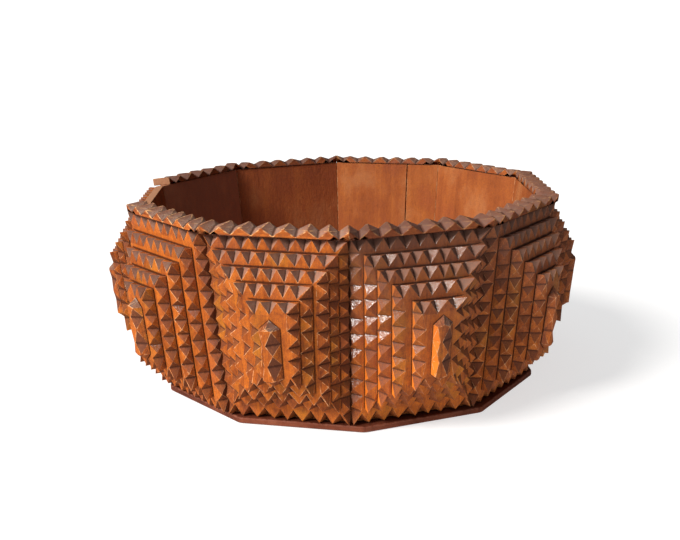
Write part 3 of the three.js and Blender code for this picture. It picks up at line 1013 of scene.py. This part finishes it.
def make_wall(side, rng):
    """A smooth wall board, in two where it is cracked from top to bottom."""
    spans = [(-1.0, 1.0)]
    if side == CRACKED_SIDE:
        spans = [(-1.0, CRACK_PLACE - CRACK_HALF_WIDTH), (CRACK_PLACE + CRACK_HALF_WIDTH, 1.0)]
    top_kind = RAW if side == LOST_RIM_SIDE else FLANK
    board = Board(rng)

    def ends(x, z, span):
        half = half_width_at(x, z) + WALL_JOINT
        return [Vector((x, half * share, z)) for share in span]

    for span in spans:
        outer_foot = ends(0.0, 0.0, span)
        outer_top = ends(0.0, WALL_SLOPE_LENGTH, span)
        inner_foot = ends(-WALL_THICKNESS, -WALL_THICKNESS * math.tan(lean), span)
        inner_top = ends(-WALL_THICKNESS, WALL_SLOPE_LENGTH, span)
        board.face(FRONT, outer_foot[0], outer_foot[1], outer_top[1], outer_top[0])
        board.face(FRONT, inner_foot[1], inner_foot[0], inner_top[0], inner_top[1])
        board.face(top_kind, outer_top[0], outer_top[1], inner_top[1], inner_top[0])
        board.face(FLANK, outer_foot[1], outer_foot[0], inner_foot[0], inner_foot[1])
        board.face(FLANK, outer_foot[0], outer_top[0], inner_top[0], inner_foot[0])
        board.face(FLANK, outer_foot[1], inner_foot[1], inner_top[1], outer_top[1])
    board.wear_edges(WALL_ARRIS_WIDTH, WALL_ARRIS_STEPS)
    # Darkened varnish and painted shade, by side
    board.stains = (WALL_STAINS_AND_SHADE.get(side, 0.0),) * 2
    # Painted sheen inside the shaded wall
    board.fade = WALL_PAINTED_SHEEN.get(side, 0.0)
    board.finish(f"side_{side:02d}_wall_board", "wall_board", f"side_{side:02d}_wall", side)


def make_rim(side, rng):
    """A rim strip: a row of pyramids along it, with notches that cross its ridge."""
    outer_x = layer_step + RIM_OVERHANG
    inner_x = -WALL_THICKNESS - RIM_OVERHANG
    middle_x = (outer_x + inner_x) / 2
    foot_z = WALL_SLOPE_LENGTH + RIM_LIFT
    top_z = WALL_SLOPE_LENGTH + GLUE_GAP + RIM_THICKNESS
    tip_z = top_z - RIM_TIP_DROP
    shortness = RIM_SHORTNESS if side == SHORT_RIM_SIDE else 0.0

    def corner(x, z, end):
        return Vector((x, end * (half_width_at(x, z) + WALL_JOINT) - (shortness if end > 0 else 0), z))

    def at(x, z, share):
        return corner(x, z, -1).lerp(corner(x, z, 1), share)

    board = Board(rng)
    length = (corner(middle_x, top_z, 1) - corner(middle_x, top_z, -1)).length
    count = max(1, round(length / RIM_PITCH))
    shares = [(n + rng.uniform(-1, 1) * TOOTH_UNEVENNESS) / count for n in range(1, count)]
    shares = [0.0, *shares, 1.0]
    ridge = [at(middle_x, top_z - rng.uniform(0, TIP_DROP), share) for share in shares]
    ridge[0], ridge[-1] = corner(middle_x, top_z, -1), corner(middle_x, top_z, 1)
    middles = [(share + following) / 2 for share, following in zip(shares, shares[1:])]
    depths = [RIM_VALLEY_DEPTH * rng.uniform(*RIM_VALLEY_SPREAD) for _ in middles]
    valleys = [at(middle_x, top_z - depth, share) for depth, share in zip(depths, middles)]
    for edge_x in (outer_x, inner_x):
        tips = [at(edge_x, tip_z - rng.uniform(0, TIP_DROP), share) for share in shares]
        tips[0], tips[-1] = corner(edge_x, tip_z, -1), corner(edge_x, tip_z, 1)
        feet = [at(edge_x, foot_z + RIM_GROOVE_FOOT, share) for share in middles]
        board.low_points += feet + valleys
        for n in range(count):
            # The notch walls turned away from the key light get painted shade
            board.face(SHADED_GROOVE, tips[n], feet[n], valleys[n])
            board.face(GROOVE, tips[n + 1], valleys[n], feet[n])
            board.face(SHADED_GROOVE, ridge[n], tips[n], valleys[n])
            board.face(GROOVE, ridge[n + 1], valleys[n], tips[n + 1])
            if n:
                board.face(FRONT, feet[n - 1], feet[n], tips[n])
        board.face(FLANK, corner(edge_x, foot_z, -1), feet[0], tips[0])
        board.face(FLANK, feet[-1], corner(edge_x, foot_z, 1), tips[-1])
        # The band under the notches, between the strip and the wall, gets painted shade
        board.face(GAP, corner(edge_x, foot_z, -1), corner(edge_x, foot_z, 1), *reversed(feet))
    for end in (-1, 1):
        board.face(
            RAW if side + end == LOST_RIM_SIDE else BACK,
            corner(outer_x, foot_z, end),
            corner(inner_x, foot_z, end),
            corner(inner_x, tip_z, end),
            corner(middle_x, top_z, end),
            corner(outer_x, tip_z, end),
        )
    board.face(
        BACK,
        corner(outer_x, foot_z, 1),
        corner(outer_x, foot_z, -1),
        corner(inner_x, foot_z, -1),
        corner(inner_x, foot_z, 1),
    )
    board.wear_edges(RIM_ARRIS_WIDTH)
    # Darkened varnish and painted shade, by side
    board.stains = (RIM_STAINS_AND_SHADE.get(side, 0.0),) * 2
    name = f"side_{side:02d}_rim"
    board.finish(name, "rim_strip", f"side_{side:02d}_rim_strip", side, grain_axis="Y")


def make_base(rng):
    """The flat board under the walls, with rounded corners."""
    corner_radius = (WALL_FOOT_APOTHEM + BASE_MARGIN) / math.cos(half_side)
    arc_centre_radius = corner_radius - BASE_CORNER_RADIUS / math.cos(half_side)
    outline = []
    for side in range(SIDES):
        angle = (2 * side + 1) * half_side + math.radians(BASE_TURN)
        centre = Vector((math.cos(angle), math.sin(angle))) * arc_centre_radius + Vector(BASE_SHIFT)
        for step in range(-BASE_CORNER_STEPS, BASE_CORNER_STEPS + 1):
            bearing = angle + half_side * step / BASE_CORNER_STEPS
            outline.append(centre + Vector((math.cos(bearing), math.sin(bearing))) * BASE_CORNER_RADIUS)
    board = Board(rng)
    foot = [Vector((point.x, point.y, 0)) for point in outline]
    top = [Vector((point.x, point.y, BASE_THICKNESS)) for point in outline]
    board.face(FRONT, *top)
    board.face(BACK, *reversed(foot))
    for index in range(len(outline)):
        last = index - 1
        board.face(FLANK, foot[last], foot[index], top[index], top[last])
    board.wear_edges(BASE_ARRIS_WIDTH, BASE_ARRIS_STEPS)
    board.finish("base", "base_board", "base_board", grain_axis="Y")


for side in range(1, SIDES + 1):
    side_rng = random.Random(CARVING_SEED * SIDE_SEEDS + side)
    make_wall(side, side_rng)
    make_stack(side, side_rng)
    if side != LOST_RIM_SIDE:
        make_rim(side, side_rng)
make_base(random.Random(CARVING_SEED))

# Floor
FLOOR_RADIUS_M = 60.0
FLOOR_SEGMENTS = 64
FLOOR_DROP_M = 0.0002
FLOOR_PALENESS = 0.48
FLOOR_ROUGHNESS = 0.9
FLOOR_GLOW = 0.64

floor_mesh = bmesh.new()
bmesh.ops.create_circle(floor_mesh, cap_ends=True, segments=FLOOR_SEGMENTS, radius=FLOOR_RADIUS_M)
floor_data = bpy.data.meshes.new("floor")
floor_mesh.to_mesh(floor_data)
floor_mesh.free()
floor = bpy.data.objects.new("floor", floor_data)
bpy.context.scene.collection.objects.link(floor)
floor.location.z = -FLOOR_DROP_M
floor.visible_glossy = False
paper = Nodes("white paper")
paper.shader.inputs["Base Color"].default_value = (FLOOR_PALENESS, FLOOR_PALENESS, FLOOR_PALENESS, 1)
paper.shader.inputs["Roughness"].default_value = FLOOR_ROUGHNESS
paper.shader.inputs["Specular IOR Level"].default_value = 0.0
paper.shader.inputs["Emission Color"].default_value = (1, 1, 1, 1)
paper.shader.inputs["Emission Strength"].default_value = FLOOR_GLOW
floor_data.materials.append(paper.material)

# Soft light from the left, and a studio that glows more on that side
KEY_FROM_CAMERA = 58.0  # degrees to the left of the camera
KEY_ELEVATION = 39.0
KEY_ANGLE = 26.0
KEY_STRENGTH = 4.7
KEY_COLOR = (1.0, 0.97, 0.93)
GLOW_BAND = Band(-0.5, 1.0, 0.02, 0.45)  # by how far a direction is towards the key light
GLOW_COLOR = (0.95, 0.97, 1.0, 1)

key_azimuth = math.radians(-90 - KEY_FROM_CAMERA)
key_elevation = math.radians(KEY_ELEVATION)
key_from = Vector(
    (
        math.cos(key_azimuth) * math.cos(key_elevation),
        math.sin(key_azimuth) * math.cos(key_elevation),
        math.sin(key_elevation),
    )
)
key_data = bpy.data.lights.new("key", "SUN")
key_data.energy = KEY_STRENGTH
key_data.angle = math.radians(KEY_ANGLE)
key_data.color = KEY_COLOR
key = bpy.data.objects.new("key", key_data)
key.rotation_mode = "QUATERNION"
key.rotation_quaternion = key_from.to_track_quat("Z", "Y")
bpy.context.scene.collection.objects.link(key)

world = bpy.data.worlds.new("studio")
bpy.context.scene.world = world
world.use_nodes = True
sky = world.node_tree
toward = sky.nodes.new("ShaderNodeTexCoord")
facing = sky.nodes.new("ShaderNodeVectorMath")
facing.operation = "DOT_PRODUCT"
facing.inputs[1].default_value = key_from
sky.links.new(toward.outputs["Generated"], facing.inputs[0])
glow = sky.nodes.new("ShaderNodeMapRange")
glow.interpolation_type = "SMOOTHSTEP"
glow.inputs["From Min"].default_value = GLOW_BAND.low
glow.inputs["From Max"].default_value = GLOW_BAND.high
glow.inputs["To Min"].default_value = GLOW_BAND.at_low
glow.inputs["To Max"].default_value = GLOW_BAND.at_high
sky.links.new(facing.outputs["Value"], glow.inputs["Value"])
background = sky.nodes["Background"]
background.inputs["Color"].default_value = GLOW_COLOR
sky.links.new(glow.outputs["Result"], background.inputs["Strength"])

# The camera stands where the photograph's corners put it
CAMERA_LENS = 59.66
CAMERA_SENSOR = 36
CAMERA_DISTANCE_M = 0.6187
CAMERA_TARGET_M = (-0.0017, 0.0, 0.0535)
CAMERA_ELEVATION = 14.21  # degrees
CAMERA_ROLL = -1.13
CAMERA_TURN = 1.33  # how far it stands to the left of the corner-on view
CAMERA_CLIP_M = (0.01, 200)

elevation = math.radians(CAMERA_ELEVATION)
roll = math.radians(CAMERA_ROLL)
ahead = Vector((0, math.cos(elevation), -math.sin(elevation)))
level = Vector((1, 0, 0))
upward = level.cross(ahead)
across = level * math.cos(roll) + upward * math.sin(roll)
over = upward * math.cos(roll) - level * math.sin(roll)
stand = Vector(CAMERA_TARGET_M) - ahead * CAMERA_DISTANCE_M
camera_data = bpy.data.cameras.new("camera")
camera_data.lens = CAMERA_LENS
camera_data.sensor_width = CAMERA_SENSOR
camera_data.sensor_fit = "HORIZONTAL"
camera_data.clip_start, camera_data.clip_end = CAMERA_CLIP_M
camera = bpy.data.objects.new("camera", camera_data)
facing_axes = Matrix((across, over, -ahead)).transposed().to_4x4()
turned = Matrix.Rotation(-math.radians(CAMERA_TURN), 4, "Z")
camera.matrix_world = turned @ Matrix.Translation(stand) @ facing_axes
bpy.context.scene.collection.objects.link(camera)
bpy.context.scene.camera = camera
bpy.context.scene.view_settings.view_transform = "Standard"
